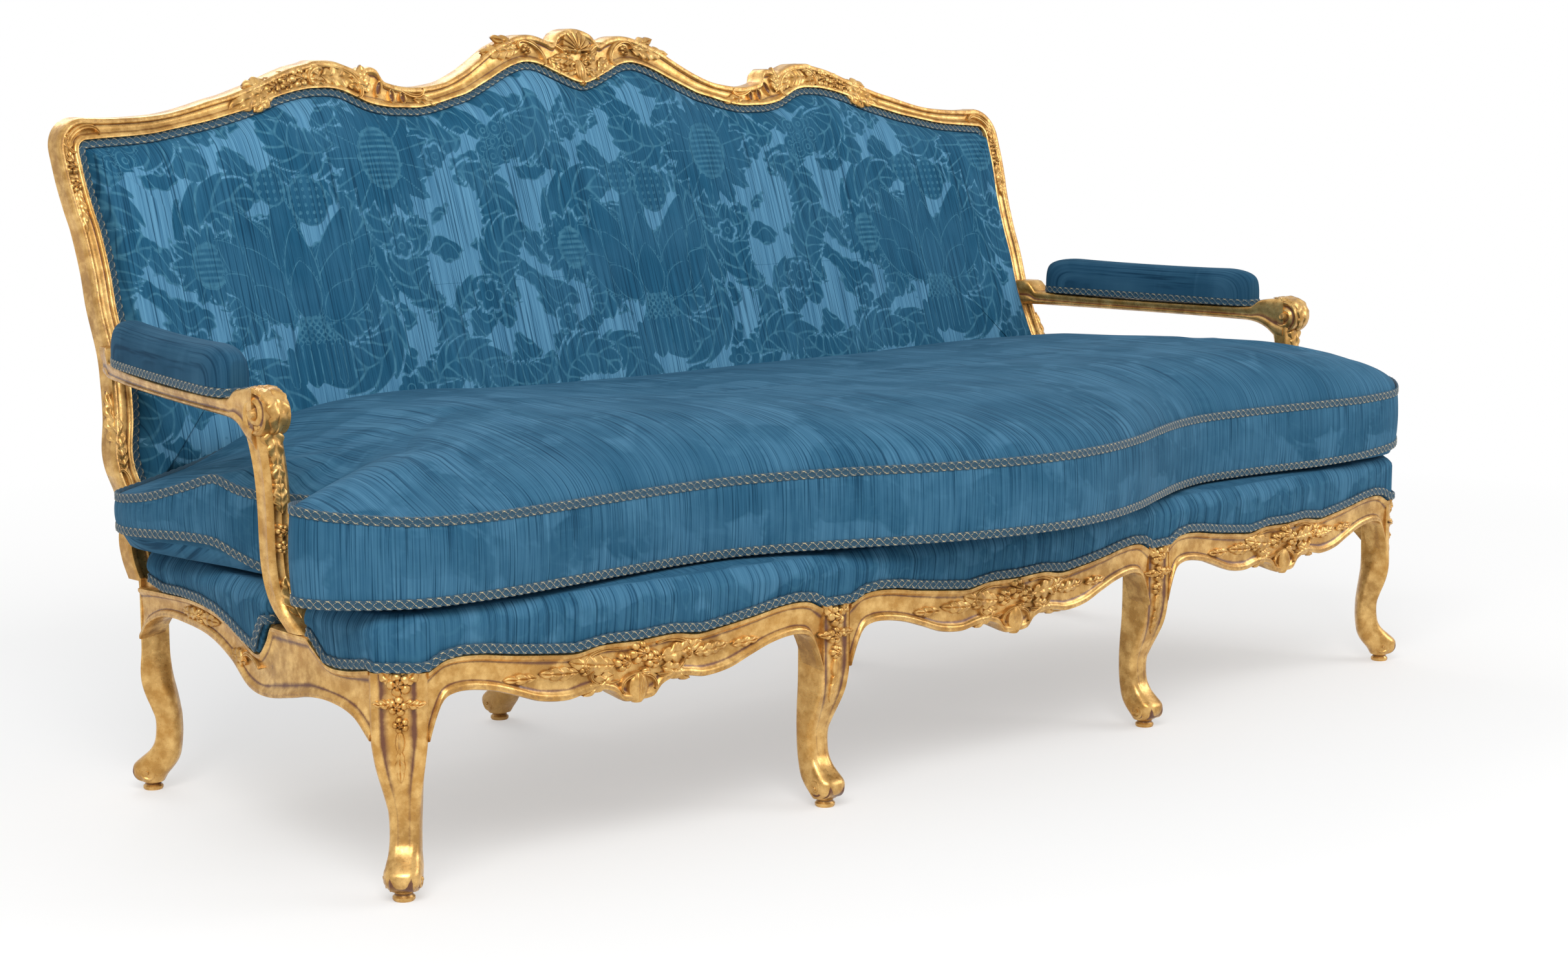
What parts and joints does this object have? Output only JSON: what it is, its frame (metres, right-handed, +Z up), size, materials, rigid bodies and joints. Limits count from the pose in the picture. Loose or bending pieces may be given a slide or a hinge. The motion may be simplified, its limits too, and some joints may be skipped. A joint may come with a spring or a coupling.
{
  "type": "cabriole sofa",
  "caption": "Long carved giltwood sofa with an upholstered serpentine back, padded open arms, a stuffed seat and one loose feather cushion, on cabriole legs.",
  "frame": {"origin": "on the floor, under the centre of the sofa's bounding box", "axes": "+X to the right and +Y away from someone who stands in front of the sofa and faces it, +Z up"},
  "size_m": [2.2256, 1.1198, 1.067],
  "materials": {
    "giltwood": "burnished gold leaf over red-brown bole, worn",
    "frame_timber": "plain planed beech",
    "blue_velvet": "strie velvet with a tone-on-tone damask pattern",
    "gimp_braid": "blue braid with looped cream and gold cord",
    "webbing": "woven jute",
    "hessian": "open plain weave",
    "outside_back_fabric": "plain woven blue cloth"
  },
  "bodies": {
    "frame": {"crest_rail": "giltwood", "back_stile_left": "giltwood", "back_stile_right": "giltwood", "back_bottom_rail": "giltwood", "leg_front_left": "giltwood", "leg_front_mid_left": "giltwood", "leg_front_mid_right": "giltwood", "leg_front_right": "giltwood", "leg_rear_mid_left": "giltwood", "leg_rear_mid_right": "giltwood", "front_rail_left": "giltwood", "front_rail_centre": "giltwood", "front_rail_right": "giltwood", "side_rail_left": "giltwood", "side_rail_right": "giltwood", "arm_left": "giltwood", "arm_right": "giltwood", "arm_post_left": "giltwood", "arm_post_right": "giltwood", "rear_rail_left": "frame_timber", "rear_rail_centre": "frame_timber", "rear_rail_right": "frame_timber", "cross_bearer_left": "frame_timber", "cross_bearer_right": "frame_timber", "seat_stuffed_cover": "blue_velvet", "back_stuffed_cover": "blue_velvet", "arm_pad_left": "blue_velvet", "arm_pad_right": "blue_velvet", "seat_gimp": "gimp_braid", "back_gimp": "gimp_braid", "arm_gimp_left": "gimp_braid", "arm_gimp_right": "gimp_braid", "seat_webbing": "webbing", "back_webbing": "webbing", "seat_hessian": "hessian", "back_hessian": "hessian", "outside_back_cover": "outside_back_fabric"},
    "cushion": {"seat_cushion": "blue_velvet", "cushion_gimp_top": "gimp_braid", "cushion_gimp_bottom": "gimp_braid"}
  },
  "joints": [
    {"name": "cushion_lift", "type": "slide", "parent": "frame", "child": "cushion", "axis": [0, 0, 1], "range_m": [0, 0.05]}
  ]
}
